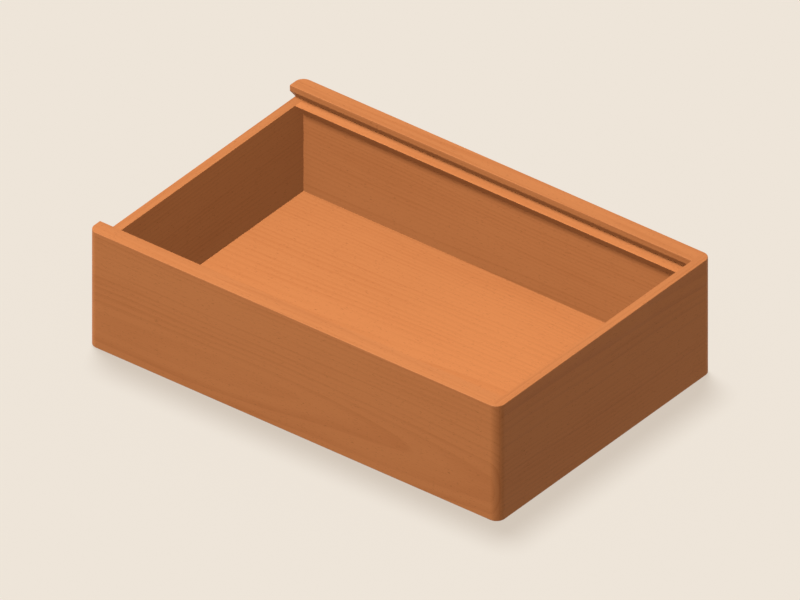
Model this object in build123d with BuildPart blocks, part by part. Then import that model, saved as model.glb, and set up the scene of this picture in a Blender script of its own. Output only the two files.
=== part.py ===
from build123d import *

import os

# A wooden box made to take a sliding lid.
#
# Nine pieces, glued up.  Two long sides and two ends make the frame, and a thin bottom
# panel sits in grooves in all four.  Along each long side an undercut lip stands over a
# sloping ledge, and the two pairs make the lid's way.  A lid slides in over the low entry
# end, rests on the ledges, is held down by the lips and stops against the stop end.
#
# Millimetres.  The origin is the centre of the underside, +X points along the box to the
# stop end, +Y to the back side and +Z up.

# The box, outside
length = 300
width = 200
height = 80             # to the top of the lips and of the stop end
board = 6               # thickness of the sides and the ends
corner_radius = 6       # upright outside corners

# The lid's way
lip_edge = 4            # height of a lip's upright edge
lip_undercut = 6.7      # height of the slope beneath it, down to the ledge
ledge_width = 8         # level face that carries the lid
rail_slope = 0.8        # run of the undercut, and of the ledge's underside, for a rise of 1

# The joints
housing = 3             # depth of the corner rabbets and of the bottom panel's grooves
bottom_thickness = 4
bottom_recess = 2       # from the ground up to the underside of the bottom panel
panel_gap = 0.2         # left round the panel in its grooves, for the wood to move

# Planes that more than one piece keeps to
end_face = length / 2
side_face = width / 2
end_inside = end_face - board
side_inside = side_face - board
end_housed = end_inside + housing
side_housed = side_inside + housing
ledge_level = height - lip_edge - lip_undercut
lip_reach = side_inside - rail_slope * lip_undercut
ledge_reach = side_inside - ledge_width
ledge_foot = ledge_level - ledge_width / rail_slope
groove_middle = bottom_recess + bottom_thickness / 2


def board_plan(x, y, along_x, along_y):
    """A board's plan, centred on x, y: its rectangle within the box's rounded outline."""
    with BuildSketch() as plan:
        RectangleRounded(length, width, corner_radius)
        with Locations((x, y)):
            Rectangle(along_x, along_y, mode=Mode.INTERSECT)
    return plan.sketch


def groove_section(plane, inside):
    """The bottom panel's groove across a board whose inner face is at inside on the plane."""
    with BuildSketch(plane) as section:
        with Locations((inside, groove_middle)):
            Rectangle(2 * housing, bottom_thickness)
    return section.sketch


def rabbet_plan(x):
    """The seat of an end board at the end of the front side, at x."""
    with BuildSketch() as plan:
        with Locations((x, -side_inside)):
            Rectangle(2 * board, 2 * housing)
    return plan.sketch


# Long sides.  They run the whole length, so a side's end grain closes each corner.  At
# the entry end the rabbet stops at the ledge's level, and above it the side is whole.
with BuildPart() as front_side:
    extrude(board_plan(0, -(side_face + side_inside) / 2, length, board), amount=height)
    extrude(groove_section(Plane.YZ, -side_inside), amount=end_face, both=True, mode=Mode.SUBTRACT)
    extrude(rabbet_plan(end_face), amount=height, mode=Mode.SUBTRACT)
    extrude(rabbet_plan(-end_face), amount=ledge_level, mode=Mode.SUBTRACT)
front_side.part.label = "front_side"

with BuildPart() as back_side:
    mirror(front_side.part, about=Plane.XZ)
back_side.part.label = "back_side"

# Ends.  Each is let into the rabbets of both sides, and its own outer corners follow the
# box's rounded outline.
with BuildPart() as entry_end:
    extrude(board_plan(-(end_face + end_inside) / 2, 0, board, 2 * side_housed), amount=ledge_level)
    extrude(groove_section(Plane.XZ, -end_inside), amount=side_housed, both=True, mode=Mode.SUBTRACT)
entry_end.part.label = "entry_end"

with BuildPart() as stop_end:
    extrude(board_plan((end_face + end_inside) / 2, 0, board, 2 * side_housed), amount=height)
    extrude(groove_section(Plane.XZ, end_inside), amount=side_housed, both=True, mode=Mode.SUBTRACT)
stop_end.part.label = "stop_end"

with BuildPart() as bottom_panel:
    with BuildSketch(Plane.XY.offset(bottom_recess)):
        Rectangle(2 * (end_housed - panel_gap), 2 * (side_housed - panel_gap))
    extrude(amount=bottom_thickness)
bottom_panel.part.label = "bottom_panel"

# Lips.  From its upright edge a lip is undercut down to the side's inner face, which it
# meets at the ledge's level.  It runs from the stop end out over the entry end.
with BuildPart() as front_lid_lip:
    with BuildSketch(Plane.YZ.offset(-end_face)):
        with BuildLine():
            Polyline(
                (-side_inside, height),
                (-lip_reach, height),
                (-lip_reach, height - lip_edge),
                (-side_inside, ledge_level),
                close=True,
            )
        make_face()
    extrude(amount=end_face + end_inside)
front_lid_lip.part.label = "front_lid_lip"

with BuildPart() as back_lid_lip:
    mirror(front_lid_lip.part, about=Plane.XZ)
back_lid_lip.part.label = "back_lid_lip"

# Ledges.  Three-cornered strips between the ends, level with the top of the entry end.
with BuildPart() as front_lid_ledge:
    with BuildSketch(Plane.YZ.offset(-end_inside)):
        with BuildLine():
            Polyline(
                (-side_inside, ledge_level),
                (-ledge_reach, ledge_level),
                (-side_inside, ledge_foot),
                close=True,
            )
        make_face()
    extrude(amount=2 * end_inside)
front_lid_ledge.part.label = "front_lid_ledge"

with BuildPart() as back_lid_ledge:
    mirror(front_lid_ledge.part, about=Plane.XZ)
back_lid_ledge.part.label = "back_lid_ledge"

os.makedirs("parts", exist_ok=True)
export_step(front_side.part, "parts/front_side.step")
export_step(back_side.part, "parts/back_side.step")
export_step(entry_end.part, "parts/entry_end.step")
export_step(stop_end.part, "parts/stop_end.step")
export_step(bottom_panel.part, "parts/bottom_panel.step")
export_step(front_lid_lip.part, "parts/front_lid_lip.step")
export_step(back_lid_lip.part, "parts/back_lid_lip.step")
export_step(front_lid_ledge.part, "parts/front_lid_ledge.step")
export_step(back_lid_ledge.part, "parts/back_lid_ledge.step")
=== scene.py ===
# %% [markdown]
# # An open wooden box made to take a sliding lid
#
# The box is nine pieces of wood: two long sides, two ends, a thin bottom panel, and along
# each side a lip and a ledge that guide the lid.  The joiner's drawing is already fixed, so
# this lesson only dresses it.  Every piece takes its shape or its sizes from the drawing,
# its free edges are eased as sandpaper would ease them, and the wood is a solid block of
# grain that each board is cut out of.

# %% Load the drawing
from math import cos, pi, radians, sin, tan

import bmesh
import bpy
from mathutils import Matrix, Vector
from mathutils.bvhtree import BVHTree


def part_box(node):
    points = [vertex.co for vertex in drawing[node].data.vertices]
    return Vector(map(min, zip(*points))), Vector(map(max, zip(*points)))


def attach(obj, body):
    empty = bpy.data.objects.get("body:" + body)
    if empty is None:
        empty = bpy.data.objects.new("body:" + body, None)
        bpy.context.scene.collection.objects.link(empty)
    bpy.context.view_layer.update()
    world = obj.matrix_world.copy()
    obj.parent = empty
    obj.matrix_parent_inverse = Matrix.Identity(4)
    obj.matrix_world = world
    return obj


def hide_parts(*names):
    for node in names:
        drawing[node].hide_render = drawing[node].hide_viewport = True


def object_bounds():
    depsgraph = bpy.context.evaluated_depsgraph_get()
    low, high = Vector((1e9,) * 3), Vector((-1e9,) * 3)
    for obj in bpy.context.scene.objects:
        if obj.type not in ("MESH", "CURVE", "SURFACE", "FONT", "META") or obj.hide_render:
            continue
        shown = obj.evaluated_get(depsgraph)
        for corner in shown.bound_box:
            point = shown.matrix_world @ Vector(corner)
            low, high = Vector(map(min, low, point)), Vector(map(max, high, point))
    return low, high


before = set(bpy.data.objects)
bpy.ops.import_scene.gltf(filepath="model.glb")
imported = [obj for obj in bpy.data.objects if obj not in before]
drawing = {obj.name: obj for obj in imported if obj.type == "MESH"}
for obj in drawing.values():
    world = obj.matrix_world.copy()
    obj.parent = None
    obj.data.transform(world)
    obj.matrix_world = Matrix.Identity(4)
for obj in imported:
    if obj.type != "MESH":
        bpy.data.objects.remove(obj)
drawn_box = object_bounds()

MM = 0.001
print("pieces in the drawing:", ", ".join(sorted(drawing)))

# %% [markdown]
# ## The camera
#
# The box is shown in a parallel projection, as in a joiner's pictorial drawing: edges that
# are parallel on the box stay parallel on the page.  Blender calls this an orthographic
# camera, and its only size is the width of the world that it takes in.

# %% A helper that puts an object in the scene
def put_in_scene(name, data):
    """A new object that shows the data, linked to the scene."""
    made = bpy.data.objects.new(name, data)
    bpy.context.scene.collection.objects.link(made)
    return made


# %% Set the camera
AZIMUTH = radians(38)
ELEVATION = radians(34)
VIEW_WIDTH = 460.66 * MM
CAMERA_DISTANCE = 1.5

low, high = drawn_box
middle = (low + high) / 2
towards_camera = Vector(
    (
        sin(AZIMUTH) * cos(ELEVATION),
        -cos(AZIMUTH) * cos(ELEVATION),
        sin(ELEVATION),
    )
)
camera = put_in_scene("camera", bpy.data.cameras.new("camera"))
camera.data.type = "ORTHO"
camera.data.ortho_scale = VIEW_WIDTH
camera.location = middle + towards_camera * CAMERA_DISTANCE
camera.rotation_mode = "QUATERNION"
camera.rotation_quaternion = (-towards_camera).to_track_quat("-Z", "Y")
bpy.context.scene.camera = camera
print("camera at", [round(value, 3) for value in camera.location])

# %% [markdown]
# ## Solid wood
#
# A board is a slice out of a trunk, so its grain isn't printed on its faces: it runs
# through it, straight along one pair of faces and curved rings on the ends.  The
# material works the same way.  It is a block of wood in three dimensions, with growth
# rings round a pith that lies beside the board, and the board's surface shows whatever it
# cuts.  Every board has its own pith, so no two match, as on a real box.

# %% Helpers for node trees
def new_node(tree, kind, settings=None, **inputs):
    """Adds a node and feeds its inputs with values or with other nodes' sockets.

    An input goes by its name, with _ for a space, or by its place among them, as in n0.
    """
    node = tree.nodes.new(kind)
    for name, value in (settings or {}).items():
        setattr(node, name, value)
    for name, value in inputs.items():
        by_place = name[1:].isdigit()
        socket = node.inputs[int(name[1:]) if by_place else name.replace("_", " ")]
        if isinstance(value, bpy.types.NodeSocket):
            tree.links.new(value, socket)
        else:
            socket.default_value = value
    return node


def arithmetic(tree, operation, *values):
    """A Math node's result."""
    numbered = {f"n{place}": value for place, value in enumerate(values)}
    return new_node(tree, "ShaderNodeMath", {"operation": operation}, **numbered).outputs[0]


def add_share(tree, total, part, share):
    """The total with a share of the part added to it."""
    return arithmetic(tree, "ADD", total, arithmetic(tree, "MULTIPLY", part, share))


def vector_math(tree, operation, result="Vector", **inputs):
    """A Vector Math node's result."""
    node = new_node(tree, "ShaderNodeVectorMath", {"operation": operation}, **inputs)
    return node.outputs[result]


def smooth_step(tree, value, start, end):
    """Goes smoothly from 0 where the value is start to 1 where it is end."""
    return new_node(
        tree, "ShaderNodeMapRange", {"interpolation_type": "SMOOTHSTEP"},
        Value=value, From_Min=start, From_Max=end,
    ).outputs[0]


def blend(tree, share, first, second):
    """The first colour, turning into the second as the share goes from 0 to 1."""
    return new_node(
        tree, "ShaderNodeMix", {"data_type": "RGBA"}, Factor=share, n6=first, n7=second
    ).outputs[2]


# %% Name the noises in the wood
# Each has the length and the width of its spots, its detail and its seed.
NOISES = {
    "wander": (180 * MM, 35 * MM, 1.0, 1.0),
    "fibre": (28 * MM, 0.7 * MM, 3.0, 2.0),
    "cloud": (140 * MM, 22 * MM, 2.0, 3.0),
    "speck": (2.2 * MM, 0.28 * MM, 0.0, 4.0),
}
NOISE_ROUGHNESS = 0.55
NOISE_MIDDLE = 0.5


def stretched_noise(tree, place, name):
    """A named noise, its spots drawn out along the grain."""
    along, across, detail, seed = NOISES[name]
    squeeze = (1 / along, 1 / across, 1 / across)
    return new_node(
        tree, "ShaderNodeTexNoise", {"noise_dimensions": "4D"},
        Vector=vector_math(tree, "MULTIPLY", n0=place, n1=squeeze),
        W=seed, Scale=1.0, Detail=detail, Roughness=NOISE_ROUGHNESS,
    )


print("noises in the wood:", ", ".join(NOISES))

# %% Grow the rings
RING_SPACING = 2.6 * MM
RING_WANDER = 9 * MM
LATE_WOOD_STARTS = 0.25
LATE_WOOD_PEAKS = 0.92
FAINTEST_RING = 0.3


def growth_rings(tree, place):
    """How much late wood there is at a place, from 0 to 1."""
    # The trunk isn't a perfect cylinder: slow noise pushes the rings in and out.
    wander = stretched_noise(tree, place, "wander").outputs["Color"]
    push = vector_math(tree, "SUBTRACT", n0=wander, n1=[NOISE_MIDDLE] * 3)
    push = vector_math(tree, "SCALE", n0=push, Scale=RING_WANDER)
    pushed = vector_math(tree, "ADD", n0=place, n1=push)

    # The distance from the pith is counted in ring widths.
    across_grain = vector_math(tree, "MULTIPLY", n0=pushed, n1=(0, 1, 1))
    radius = vector_math(tree, "LENGTH", "Value", n0=across_grain)
    count = arithmetic(tree, "DIVIDE", radius, RING_SPACING)
    year = arithmetic(tree, "FLOOR", count)
    season = arithmetic(tree, "FRACT", count)
    rise = smooth_step(tree, season, LATE_WOOD_STARTS, LATE_WOOD_PEAKS)
    fall = smooth_step(tree, season, 1.0, LATE_WOOD_PEAKS)
    late = arithmetic(tree, "MULTIPLY", rise, fall)

    # Some years leave a faint ring and others a strong one.
    chance = new_node(tree, "ShaderNodeTexWhiteNoise", {"noise_dimensions": "1D"}, W=year)
    harshness = arithmetic(
        tree, "MULTIPLY_ADD", chance.outputs["Value"], 1 - FAINTEST_RING, FAINTEST_RING
    )
    return arithmetic(tree, "MULTIPLY", late, harshness)


print("growth rings:", round(RING_SPACING / MM, 2), "mm apart")

# %% Make the block of wood
EARLY_WOOD = (0.745, 0.262, 0.085, 1)
LATE_WOOD = (0.600, 0.185, 0.053, 1)
PORE_TONE = (0.36, 0.095, 0.024, 1)
RING_CONTRAST = 0.42
FIBRE_CONTRAST = 0.64
CLOUD_CONTRAST = 0.88
END_GRAIN_SHADE = 0.64
PORES_START = 0.68
PORES_FULL = 0.80
PORE_COVER = 0.5
ROUGHNESS = 0.52
ROUGHER = {"late": -0.08, "fibre": 0.12, "pore": 0.15}
HIGHER = {"late": 0.25, "fibre": 0.25, "pore": -0.6}
BLOCK_SOCKETS = {
    "Place": ("INPUT", "NodeSocketVector"),
    "End Grain": ("INPUT", "NodeSocketFloat"),
    "Color": ("OUTPUT", "NodeSocketColor"),
    "Roughness": ("OUTPUT", "NodeSocketFloat"),
    "Height": ("OUTPUT", "NodeSocketFloat"),
}


def block_of_wood():
    """A group that gives colour, roughness and height at a place in the trunk, grain along X."""
    tree = bpy.data.node_groups.new("block_of_wood", "ShaderNodeTree")
    for name, (way, kind) in BLOCK_SOCKETS.items():
        tree.interface.new_socket(name, in_out=way, socket_type=kind)
    entry = tree.nodes.new("NodeGroupInput")
    place = entry.outputs["Place"]
    late = growth_rings(tree, place)

    def swing(noise_name, contrast):
        """A noise that swings to both sides of nought."""
        noise = stretched_noise(tree, place, noise_name).outputs["Fac"]
        return arithmetic(
            tree, "MULTIPLY", arithmetic(tree, "SUBTRACT", noise, NOISE_MIDDLE), contrast
        )

    # Fibres are fine streaks along the grain, and clouds are broad changes of tone.
    fibre = swing("fibre", FIBRE_CONTRAST)
    cloud = swing("cloud", CLOUD_CONTRAST)
    depth = arithmetic(tree, "MULTIPLY", late, RING_CONTRAST)
    depth = arithmetic(tree, "ADD", depth, arithmetic(tree, "ADD", fibre, cloud))
    depth = add_share(tree, depth, entry.outputs["End Grain"], END_GRAIN_SHADE)
    depth = new_node(tree, "ShaderNodeClamp", Value=depth).outputs[0]
    tone = blend(tree, depth, EARLY_WOOD, LATE_WOOD)

    # Pores are short dark pinholes along the grain.
    speck = stretched_noise(tree, place, "speck").outputs["Fac"]
    pore = smooth_step(tree, speck, PORES_START, PORES_FULL)
    tone = blend(tree, arithmetic(tree, "MULTIPLY", pore, PORE_COVER), tone, PORE_TONE)

    # Late wood is smoother and stands a little proud, and a pore is a rough pit.
    rough = arithmetic(tree, "MULTIPLY_ADD", late, ROUGHER["late"], ROUGHNESS)
    rough = add_share(tree, rough, fibre, ROUGHER["fibre"])
    rough = add_share(tree, rough, pore, ROUGHER["pore"])
    height = arithmetic(tree, "MULTIPLY", fibre, HIGHER["fibre"])
    height = arithmetic(tree, "MULTIPLY_ADD", pore, HIGHER["pore"], height)
    height = add_share(tree, height, late, HIGHER["late"])
    leave = tree.nodes.new("NodeGroupOutput")
    for name, socket in (("Color", tone), ("Roughness", rough), ("Height", height)):
        tree.links.new(socket, leave.inputs[name])
    return tree


wood_block = block_of_wood()
print("block of wood:", len(wood_block.nodes), "nodes")

# %% [markdown]
# ## A finish for each board
#
# The finish is a rubbed oil: the wood keeps its own colour and takes a low, even sheen.
# Two Mapping nodes turn the block so that its grain runs with the board, and put the
# pith where the tree had it.  End grain drinks more oil and goes a shade darker, and
# the face's own normal tells where it is.

# %% Cut a board's wood from the block
SHEEN_LEVEL = 0.20
GRAIN_DEPTH = 0.06 * MM
GRAIN_STRENGTH = 0.6
END_GRAIN_FOCUS = 3


def oiled_wood(name, grain, pith, lean):
    """A board's wood: grain is "X" or "Y", pith the trunk's centre, lean its tilt in degrees."""
    material = bpy.data.materials.new(name)
    material.use_nodes = True
    tree = material.node_tree
    tree.nodes.clear()
    turn, along = (radians(-90), (0, 1, 0)) if grain == "Y" else (0, (1, 0, 0))
    here = tree.nodes.new("ShaderNodeTexCoord").outputs["Object"]
    turned = new_node(tree, "ShaderNodeMapping", Vector=here, Rotation=(0, 0, turn)).outputs[0]
    place = new_node(
        tree, "ShaderNodeMapping",
        Vector=turned, Location=pith, Rotation=[radians(angle) for angle in lean],
    ).outputs[0]
    facing = tree.nodes.new("ShaderNodeNewGeometry").outputs["Normal"]
    facing_end = vector_math(tree, "DOT_PRODUCT", "Value", n0=facing, n1=along)
    end_grain = arithmetic(
        tree, "POWER", arithmetic(tree, "ABSOLUTE", facing_end), END_GRAIN_FOCUS
    )
    block = new_node(
        tree, "ShaderNodeGroup", {"node_tree": wood_block}, Place=place, End_Grain=end_grain
    )
    relief = new_node(
        tree, "ShaderNodeBump",
        Height=block.outputs["Height"], Strength=GRAIN_STRENGTH, Distance=GRAIN_DEPTH,
    )
    oil = new_node(
        tree, "ShaderNodeBsdfPrincipled",
        Base_Color=block.outputs["Color"], Roughness=block.outputs["Roughness"],
        Specular_IOR_Level=SHEEN_LEVEL, Normal=relief.outputs[0],
    )
    new_node(tree, "ShaderNodeOutputMaterial", Surface=oil.outputs[0])
    return material


# %% [markdown]
# ## Taking a board from the drawing
#
# The drawing's pieces are made of loose triangles.  A copy of each is merged into whole
# faces, which leaves a clean outline of the board to work on.  A joiner then takes the
# sharpness off every edge that a hand can reach, and leaves the glued edges alone so
# that the joints stay tight.  The rule in code is the same: an edge is eased unless a
# neighbouring piece touches it, which is tried at its middle and near both its ends.

# %% Copy a piece with whole faces
MERGE = 0.002 * MM
FLAT = radians(0.3)


def whole_faces(node):
    """A BMesh of a drawn piece with its loose triangles merged and its flat faces whole."""
    shape = bmesh.new()
    shape.from_mesh(drawing[node].data)
    bmesh.ops.remove_doubles(shape, verts=shape.verts, dist=MERGE)
    bmesh.ops.dissolve_limit(
        shape, angle_limit=FLAT, verts=shape.verts, edges=shape.edges, delimit={"NORMAL"}
    )
    bmesh.ops.recalc_face_normals(shape, faces=shape.faces)
    return shape


# %% Find the free edges
TOUCH = 0.05 * MM
NEAR_END = 5 * MM


def surface_of(node):
    """A drawn piece's surface, in a form that finds its nearest point quickly."""
    shape = bmesh.new()
    shape.from_mesh(drawing[node].data)
    tree = BVHTree.FromBMesh(shape)
    shape.free()
    return tree


surfaces = {node: surface_of(node) for node in drawing}


def touches_neighbour(edge, node):
    """Whether another piece touches the edge at its middle or near one of its ends."""
    start, end = (vert.co for vert in edge.verts)
    inset = min(NEAR_END / edge.calc_length(), 0.5)
    spots = [start.lerp(end, share) for share in (inset, 0.5, 1 - inset)]
    others = [surface for name, surface in surfaces.items() if name != node]
    nearest = [other.find_nearest(spot, TOUCH)[0] for other in others for spot in spots]
    return any(point is not None for point in nearest)


print("surfaces to try the edges on:", len(surfaces))

# %% Ease the free edges
CORNER = radians(25)
EASE = 0.45 * MM
EASE_STEPS = 3


def ease_free_edges(shape, node):
    """Rounds the edges that no neighbour meets, and returns how many there were."""
    free = []
    for edge in shape.edges:
        sharp = edge.is_manifold and edge.calc_face_angle() > CORNER
        if sharp and not touches_neighbour(edge, node):
            free.append(edge)
    bmesh.ops.bevel(
        shape, geom=free, offset=EASE, offset_type="OFFSET", segments=EASE_STEPS,
        profile=0.5, affect="EDGES", clamp_overlap=True,
    )
    return len(free)


# %% Turn a shape into a finished piece
SMOOTH = radians(24)
LARGE_FACES_RULE = 100


def finish_piece(shape, node, material):
    """Makes the piece that stands for a drawn one, with even light on its flat faces."""
    mesh = bpy.data.meshes.new(node)
    shape.to_mesh(mesh)
    shape.free()
    mesh.materials.append(material)
    mesh.shade_smooth()
    mesh.set_sharp_from_angle(angle=SMOOTH)
    raw = put_in_scene(node + "_raw", mesh)
    level = raw.modifiers.new("level_faces", "WEIGHTED_NORMAL")
    level.keep_sharp = True
    level.weight = LARGE_FACES_RULE
    evaluated = raw.evaluated_get(bpy.context.evaluated_depsgraph_get())
    finished = bpy.data.meshes.new_from_object(evaluated)
    bpy.data.objects.remove(raw)
    piece = put_in_scene(node + "_wood", finished)
    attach(piece, "root")
    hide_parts(node)
    return piece


# %% [markdown]
# ## The four boards and the bottom panel
#
# The sides' grain runs along the box and the ends' grain across it, so that each board is
# strong along its length.  The bottom panel's grain runs with the sides.  The lean is about
# a degree, so the rings run nearly straight down the face, with a slow drift.

# %% Make the boards
# Each has its grain, the place of its pith in metres, its lean in degrees and its slot.
BOARDS = {
    "front_side": ("X", (0.02, 0.135, -0.020), (0, 0.6, 0.9), "board_wood"),
    "back_side": ("X", (0.31, -0.065, 0.030), (0, -0.5, -1.0), "board_wood"),
    "entry_end": ("Y", (0.11, -0.190, 0.045), (0, 0.8, 1.2), "board_wood"),
    "stop_end": ("Y", (-0.23, 0.110, -0.080), (0, -1.0, 0.8), "board_wood"),
    "bottom_panel": ("X", (0.50, 0.020, 0.060), (0, 1.2, 0.5), "panel_wood"),
}
pieces = {}
for node, (grain, pith, lean, slot) in BOARDS.items():
    shape = whole_faces(node)
    eased = ease_free_edges(shape, node)
    material = oiled_wood(node + "_wood", grain, pith, lean)
    pieces[node] = finish_piece(shape, node, material)
    print(node, "edges eased:", eased, "faces:", len(pieces[node].data.polygons))

# %% [markdown]
# ## The lid's rails
#
# The lid slides between four strips of wood.  A lip overhangs each side and is undercut
# beneath, and a ledge below it carries the lid.  A joiner planes such a strip to one
# section and cuts it to length, so its whole shape is a rule: four corners of a section,
# and the two places where the strip is sawn off.  It could be modelled corner by corner
# four times over, but a rule suits Geometry Nodes: one small tree draws the section from
# its named sizes and sweeps it along the rail.  A ledge is the same section with no
# upright edge, where two of its corners fall together and are merged.

# %% Draw the rail's tree
RAIL_SIZES = ("Start", "End", "Wall", "Reach", "Top", "Edge Height", "Foot")


def guide_rail():
    """A tree that sweeps a rail's section along X; across is Y and up is Z."""
    tree = bpy.data.node_groups.new("guide_rail", "GeometryNodeTree")
    face = tree.interface
    face.new_socket("Geometry", in_out="OUTPUT", socket_type="NodeSocketGeometry")
    for name in RAIL_SIZES:
        face.new_socket(name, in_out="INPUT", socket_type="NodeSocketFloat")
    face.new_socket("Wood", in_out="INPUT", socket_type="NodeSocketMaterial")
    size = tree.nodes.new("NodeGroupInput").outputs

    def corner(across, up):
        """A corner of the section."""
        return new_node(tree, "ShaderNodeCombineXYZ", X=across, Y=up).outputs[0]

    def station(along):
        """A place along the rail."""
        return new_node(tree, "ShaderNodeCombineXYZ", X=along).outputs[0]

    edge_foot = arithmetic(tree, "SUBTRACT", size["Top"], size["Edge Height"])
    section = new_node(
        tree, "GeometryNodeCurvePrimitiveQuadrilateral", {"mode": "POINTS"},
        Point_1=corner(size["Wall"], size["Top"]),
        Point_2=corner(size["Reach"], size["Top"]),
        Point_3=corner(size["Reach"], edge_foot),
        Point_4=corner(size["Wall"], size["Foot"]),
    )
    line = new_node(
        tree, "GeometryNodeCurvePrimitiveLine",
        Start=station(size["Start"]), End=station(size["End"]),
    )
    # A section swept along X lies upside down, and half a turn of tilt stands it upright.
    path = new_node(tree, "GeometryNodeSetCurveTilt", Curve=line.outputs[0], Tilt=pi)
    strip = new_node(
        tree, "GeometryNodeCurveToMesh",
        Curve=path.outputs[0], Profile_Curve=section.outputs[0], Fill_Caps=True,
    )
    merged = new_node(
        tree, "GeometryNodeMergeByDistance", Geometry=strip.outputs[0], Distance=MERGE
    )
    real = new_node(tree, "GeometryNodeRealizeInstances", Geometry=merged.outputs[0])
    paint = new_node(
        tree, "GeometryNodeSetMaterial", Geometry=real.outputs[0], Material=size["Wood"]
    )
    leave = tree.nodes.new("NodeGroupOutput")
    tree.links.new(paint.outputs[0], leave.inputs[0])
    return tree


rail_tree = guide_rail()
print("rail tree:", len(rail_tree.nodes), "nodes, inputs", ", ".join(RAIL_SIZES))

# %% Run a rail between its two sawn ends
LIP_EDGE = 4 * MM


def rail_shape(node, edge_height, material):
    """Runs the tree with a drawn rail's sizes and returns its mesh, made plain, as a BMesh."""
    lowest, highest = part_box(node)
    back = lowest.y > 0
    values = {
        "Start": lowest.x,
        "End": highest.x,
        "Wall": highest.y if back else lowest.y,
        "Reach": lowest.y if back else highest.y,
        "Top": highest.z,
        "Edge Height": edge_height,
        "Foot": lowest.z,
        "Wood": material,
    }
    carrier = put_in_scene(node + "_carrier", bpy.data.meshes.new(node + "_carrier"))
    sweep = carrier.modifiers.new("sweep", "NODES")
    sweep.node_group = rail_tree
    for item in rail_tree.interface.items_tree:
        if item.in_out == "INPUT":
            sweep[item.identifier] = values[item.name]
    evaluated = carrier.evaluated_get(bpy.context.evaluated_depsgraph_get())
    mesh = bpy.data.meshes.new_from_object(evaluated)
    carrier.modifiers.remove(sweep)
    bpy.data.objects.remove(carrier)
    shape = bmesh.new()
    shape.from_mesh(mesh)
    bmesh.ops.recalc_face_normals(shape, faces=shape.faces)
    return shape


# %% Make the rails
# Each has its upright edge's height, the place of its pith in metres and its lean in degrees.
RAILS = {
    "front_lid_lip": (LIP_EDGE, (0.7, 0.16, 0.02), (0, 0.4, 0.6)),
    "back_lid_lip": (LIP_EDGE, (-0.4, -0.03, 0.05), (0, -0.4, 0.5)),
    "front_lid_ledge": (0, (0.9, 0.15, -0.03), (0, 0.3, -0.6)),
    "back_lid_ledge": (0, (-0.6, -0.01, 0.07), (0, 0.5, 0.4)),
}
for node, (edge_height, pith, lean) in RAILS.items():
    material = oiled_wood(node + "_wood", "X", pith, lean)
    shape = rail_shape(node, edge_height, material)
    volume = shape.calc_volume() / MM**3
    eased = ease_free_edges(shape, node)
    pieces[node] = finish_piece(shape, node, material)
    print(f"{node}: {volume:.1f} cubic mm, edges eased: {eased}")

# %% [markdown]
# ## The floor
#
# A pale floor runs past the picture on every side.  Painted plainly, it would light the box
# from below, and its upright sides would come out half as bright again or more.  So the
# paint shows the pale tone only to the camera and in mirrors, and is dim to every other ray.
# Part of the tone is a glow, which no shadow darkens, and that keeps the shadow at the foot
# of the box faint.

# %% Make the floor
FLOOR_SIZE = 6.0

floor_mesh = bpy.data.meshes.new("floor")
half = FLOOR_SIZE / 2
floor_mesh.from_pydata(
    [(-half, -half, 0), (half, -half, 0), (half, half, 0), (-half, half, 0)], [], [(0, 1, 2, 3)]
)
floor = put_in_scene("floor", floor_mesh)
print("floor:", FLOOR_SIZE, "m wide")

# %% Paint the floor
PALE = (0.855, 0.783, 0.694, 1)
DIM = (0.12, 0.11, 0.10, 1)
GLOW = (0.74, 0.71, 0.684)

floor_paint = bpy.data.materials.new("floor_paint")
floor_paint.use_nodes = True
tree = floor_paint.node_tree
tree.nodes.clear()
rays = tree.nodes.new("ShaderNodeLightPath").outputs
mirrored = arithmetic(tree, "MAXIMUM", rays["Is Glossy Ray"], rays["Is Transmission Ray"])
seen = arithmetic(tree, "MAXIMUM", rays["Is Camera Ray"], mirrored)
glow_share = [pale * glow for pale, glow in zip(PALE, GLOW)] + [1]
lit_share = [pale * (1 - glow) for pale, glow in zip(PALE, GLOW)] + [1]
matte = new_node(tree, "ShaderNodeBsdfDiffuse", Color=blend(tree, seen, DIM, lit_share))
glow = new_node(tree, "ShaderNodeEmission", Color=glow_share, Strength=seen)
both = new_node(tree, "ShaderNodeAddShader", n0=matte.outputs[0], n1=glow.outputs[0])
new_node(tree, "ShaderNodeOutputMaterial", Surface=both.outputs[0])
floor_mesh.materials.append(floor_paint)
print("floor's pale tone:", PALE[:3])

# %% [markdown]
# ## The lamps
#
# Softboxes are broad, even lamps at a distance.  The key lamp stands high in front of the
# box, a little towards the low end, and from there the level faces come out lightest, the
# front darker and the stop end darkest.  Weaker lamps low on the right, behind and on the
# left keep those sides from falling into shadow.
#
# A deep box shades its own inside.  More light all round would brighten the outside too, so
# light linking does what a photographer does with small reflectors: a weak lamp lights only
# the piece that the others keep dark, such as the bottom panel.  The rails' undercuts face
# down, so their lamp shines up from below.  Linking also says what may stand in a lamp's
# way, and it lets the key lamp shine past the low end, whose shadow would lie on the panel.
# A lamp that isn't mirrored adds no glare to the oiled wood.

# %% Gather what each lamp lights
def lit_group(name, *members):
    """A collection that a lamp's light linking can point to."""
    group = bpy.data.collections.new(name)
    for member in members:
        group.objects.link(member)
    return group


box = lit_group("box", *pieces.values())
boards = lit_group("boards", *(pieces[node] for node in BOARDS))
rails = lit_group("rails", *(pieces[node] for node in RAILS))
lips = lit_group("lips", pieces["front_lid_lip"], pieces["back_lid_lip"])
ledges = lit_group("ledges", pieces["front_lid_ledge"], pieces["back_lid_ledge"])
panel = lit_group("panel", pieces["bottom_panel"])
back_wall = lit_group("back_wall", pieces["back_side"])
front_wall = lit_group("front_wall", pieces["front_side"])
low_end = lit_group("low_end", pieces["entry_end"])
others = [piece for node, piece in pieces.items() if node != "entry_end"]
but_low_end = lit_group("but_low_end", *others)
ground = lit_group("ground", floor)

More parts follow.
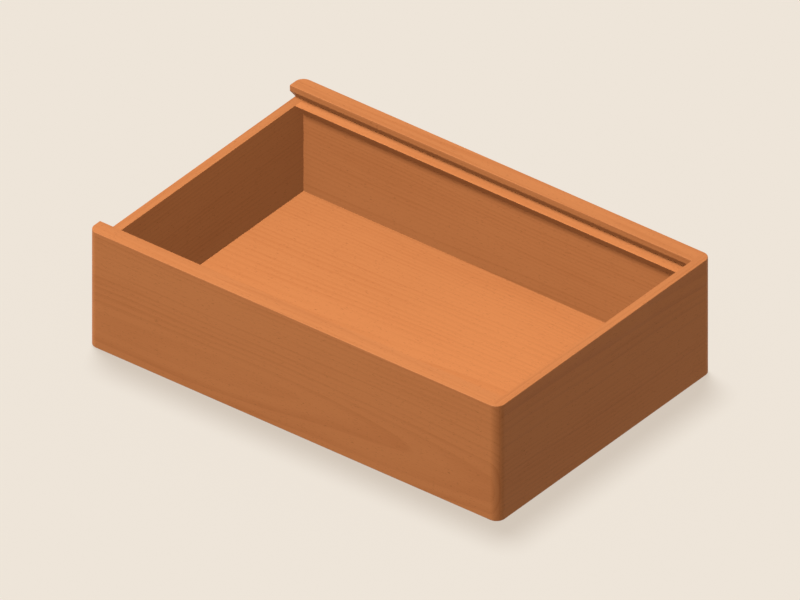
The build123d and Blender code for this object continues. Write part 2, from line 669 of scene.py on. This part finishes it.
# %% Hang the softboxes
SOFTBOX_DISTANCE = 4.0


def far_lamp(kind, name, towards, lit):
    """A lamp that stands in the direction towards and lights the group lit, directly only."""
    data = bpy.data.lights.new(name, kind)
    data.cycles.max_bounces = 0
    data.cycles.use_multiple_importance_sampling = False
    lamp = put_in_scene(name, data)
    lamp.rotation_mode = "QUATERNION"
    lamp.rotation_quaternion = Vector(towards).to_track_quat("Z", "Y")
    lamp.location = Vector(towards).normalized() * SOFTBOX_DISTANCE
    lamp.visible_camera = False
    lamp.light_linking.receiver_collection = lit
    return lamp


def softbox(name, towards, strength, width, lit, shaded_by=None, mirrored=False):
    """A round lamp that looks width degrees wide and lights a white face to strength."""
    lamp = far_lamp("AREA", name, towards, lit)
    lamp.data.shape = "DISK"
    lamp.data.size = 2 * SOFTBOX_DISTANCE * tan(radians(width) / 2)
    # A disc of power P, at a distance D, lights a white face square to it to P / (pi D)^2.
    lamp.data.energy = strength * (pi * SOFTBOX_DISTANCE) ** 2
    lamp.visible_glossy = mirrored
    if shaded_by:
        lamp.light_linking.blocker_collection = shaded_by
    print(f"{name}: strength {strength}, {width} degrees wide, lights {lit.name}")


softbox("key_lamp", (-0.12, -0.69, 1), 0.865, 16, box, shaded_by=but_low_end, mirrored=True)
softbox("low_right_lamp", (1, 0.5, 0.35), 0.23, 24, but_low_end)
softbox("low_back_lamp", (0, 1, 0.3), 0.11, 30, box, mirrored=True)
softbox("low_left_lamp", (-1, 0, 0.25), 0.43, 30, box)

softbox("low_end_lamp", (1, -0.1, 0.35), 0.27, 8, low_end, shaded_by=boards)
softbox("under_lamp", (0, 0, -1), 0.41, 20, rails, shaded_by=lips)
softbox("ledge_lamp", (0, -0.45, 1), 0.32, 20, ledges)
softbox("panel_lamp", (0.1, -0.2, 1), 0.275, 20, panel)
softbox("back_wall_lamp", (0, -1, 0.5), 0.07, 14, back_wall)
softbox("front_wall_lamp", (0, 1, 0.45), 0.09, 14, front_wall)

# %% [markdown]
# ## The floor's own lamp, and the sky
#
# The floor takes only one sun, nearly overhead, and the sky.  Together they light it to its
# own tone, however the softboxes are set, and the shadow falls small and close on the two
# sides that face the camera.  The sky is weak and even.  It is what fills the corners that
# no lamp reaches, and the camera sees it in the floor's pale tone.

# %% Light the floor
SKY = 0.10
FLOOR_LAMP_WIDTH = 18
# The share of its light that a level floor gets, about the cosine of the lamp's slant.
FLOOR_LAMP_SLANT = 0.955

floor_lamp = far_lamp("SUN", "floor_lamp", (-0.25, 0.19, 1), ground)
floor_lamp.data.angle = radians(FLOOR_LAMP_WIDTH)
floor_lamp.data.energy = pi * (1 - SKY) / FLOOR_LAMP_SLANT
print("floor lamp:", round(floor_lamp.data.energy / pi, 3))

# %% Light the sky
world = bpy.data.worlds.new("studio")
bpy.context.scene.world = world
world.use_nodes = True
tree = world.node_tree
tree.nodes.clear()
seen = tree.nodes.new("ShaderNodeLightPath").outputs["Is Camera Ray"]
tone = blend(tree, seen, (SKY, SKY, SKY, 1), PALE)
sky = new_node(tree, "ShaderNodeBackground", Color=tone)
new_node(tree, "ShaderNodeOutputWorld", Surface=sky.outputs[0])
print("sky:", SKY)

# %% [markdown]
# ## Colour and size
#
# The Standard view shows every colour as it was mixed.  The others bend the tones as film
# does, which suits strong light, and here the light is plain.  Last, the size of the drawn
# box is printed, as measured when it was loaded.  The dressed box has to be as large, since
# easing an edge only takes wood away.

# %% Choose the view of colours
bpy.context.scene.view_settings.view_transform = "Standard"
print("view of colours:", bpy.context.scene.view_settings.view_transform)

# %% Print the drawn box's size
print("drawn box:", [tuple(round(value / MM, 2) for value in corner) for corner in drawn_box])
